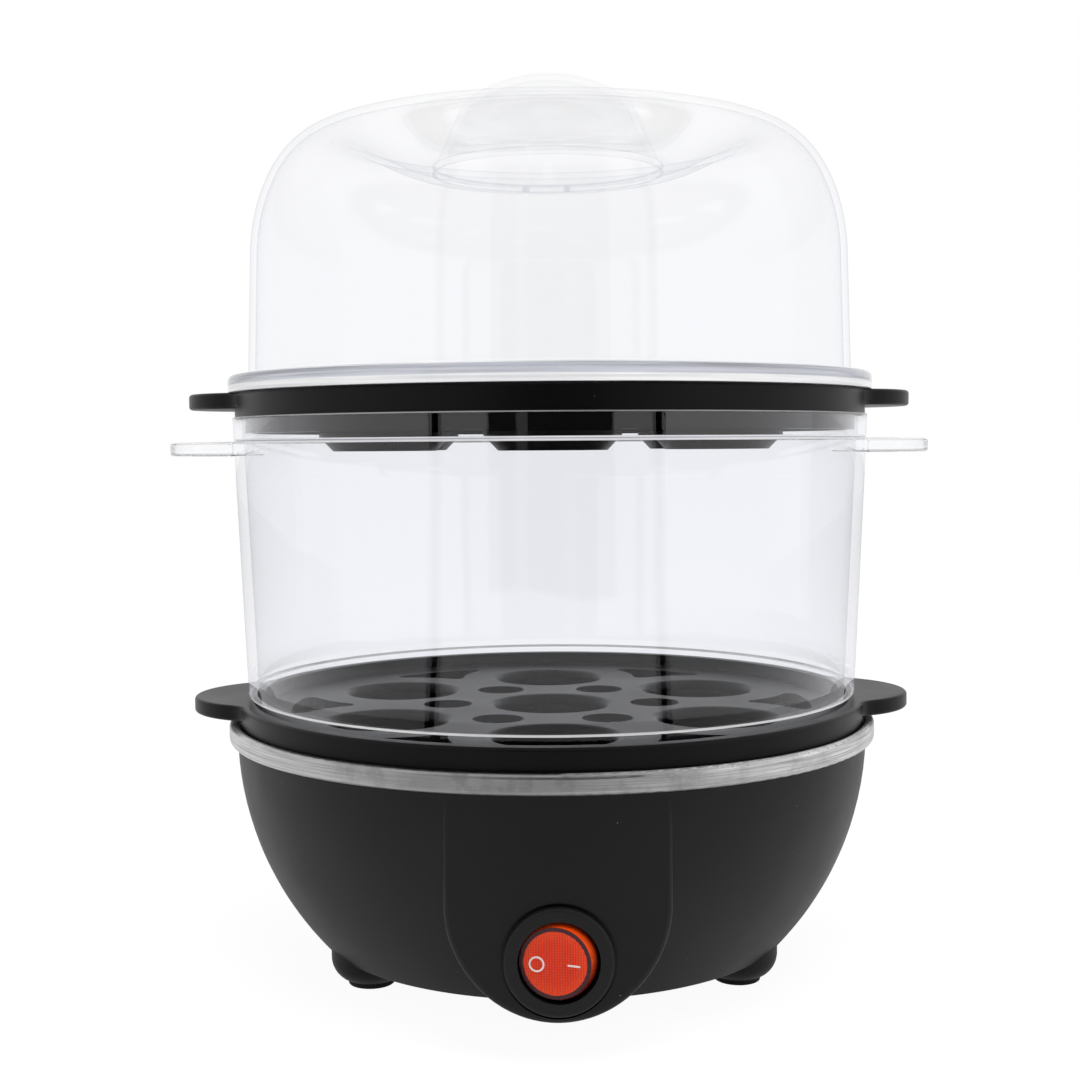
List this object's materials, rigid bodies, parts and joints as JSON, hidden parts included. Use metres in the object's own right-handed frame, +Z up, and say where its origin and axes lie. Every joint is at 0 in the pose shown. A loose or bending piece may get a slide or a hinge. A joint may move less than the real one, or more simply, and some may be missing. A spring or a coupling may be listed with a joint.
{
  "type": "electric egg steamer",
  "caption": "Two-tier electric egg boiler: black bowl base with rocker switch, steel water dish, egg trays, clear ring and domed lid.",
  "frame": {"origin": "on the table, on the axis of the bowl, dish, trays and lid", "axes": "+Z up; the front with the rocker switch looks along -Y; the tray ears lie along X"},
  "size_m": [0.1888, 0.161, 0.2189],
  "materials": {
    "housing_black": "satin moulded",
    "tray_black": "satin moulded",
    "clear_plastic": "clear",
    "steel": "brushed",
    "plain_steel": "zinc plated",
    "aluminium": "cast",
    "brass": "plain",
    "rubber": "soft",
    "silicone": "soft",
    "ceramic": "unglazed",
    "phenolic": "pressed",
    "white_plastic": "moulded",
    "switch_black": "fine texture",
    "rocker_red": "translucent",
    "mark_white": "printed",
    "lamp_glass": "clear",
    "lead_brown": "insulation",
    "lead_blue": "insulation",
    "lead_green": "insulation"
  },
  "bodies": {
    "base": {"base_housing": "housing_black", "bottom_cover": "housing_black", "cover_screws": "plain_steel", "front_left_foot_pad": "rubber", "front_right_foot_pad": "rubber", "rear_foot_pad": "rubber", "water_dish": "steel", "dish_seal": "silicone", "dish_bushes": "plain_steel", "dish_screws": "plain_steel", "heat_spreader": "aluminium", "heating_element": "plain_steel", "element_beads": "ceramic", "element_tabs": "plain_steel", "thermostat_cup": "aluminium", "thermostat_base": "phenolic", "thermostat_tabs": "brass", "thermostat_bracket": "plain_steel", "bracket_screws": "plain_steel", "earth_tag": "brass", "thermal_fuse": "aluminium", "fuse_clip": "plain_steel", "fuse_screw": "plain_steel", "terminal_block": "white_plastic", "terminal_screws": "brass", "cord_gland": "rubber", "switch_body": "switch_black", "switch_tabs": "brass", "live_lead": "lead_brown", "switched_lead": "lead_brown", "fuse_lead": "lead_brown", "heater_lead": "lead_brown", "neutral_lead": "lead_blue", "earth_lead": "lead_green"},
    "rocker": {"switch_rocker": "rocker_red", "rocker_marks": "mark_white", "switch_plunger": "brass", "switch_spring": "plain_steel", "indicator_lamp": "lamp_glass"},
    "contact_lever": {"switch_contact_lever": "brass"},
    "lower_tray": {"lower_egg_tray": "tray_black"},
    "ring": {"steam_ring": "clear_plastic"},
    "upper_tray": {"upper_egg_tray": "tray_black"},
    "lid": {"dome_lid": "clear_plastic"}
  },
  "joints": [
    {"name": "rocker_turn", "type": "hinge", "parent": "base", "child": "rocker", "pos_m": [0, -0.0757, 0.0218], "axis": [0, 0, 1], "range_deg": [0, 24]},
    {"name": "contact_lever_turn", "type": "hinge", "parent": "base", "child": "contact_lever", "pos_m": [0, -0.0663, 0.0218], "axis": [0, 0, 1], "range_deg": [-12, 0]},
    {"name": "lower_tray_lift", "type": "slide", "parent": "base", "child": "lower_tray", "axis": [0, 0, 1], "range_m": [0, 0.06]},
    {"name": "ring_lift", "type": "slide", "parent": "lower_tray", "child": "ring", "axis": [0, 0, 1], "range_m": [0, 0.09]},
    {"name": "upper_tray_lift", "type": "slide", "parent": "ring", "child": "upper_tray", "axis": [0, 0, 1], "range_m": [0, 0.06]},
    {"name": "lid_lift", "type": "slide", "parent": "upper_tray", "child": "lid", "axis": [0, 0, 1], "range_m": [0, 0.1]}
  ],
  "couplings": [
    {"joint": "contact_lever_turn", "follows": "rocker_turn", "ratio": -0.5}
  ]
}
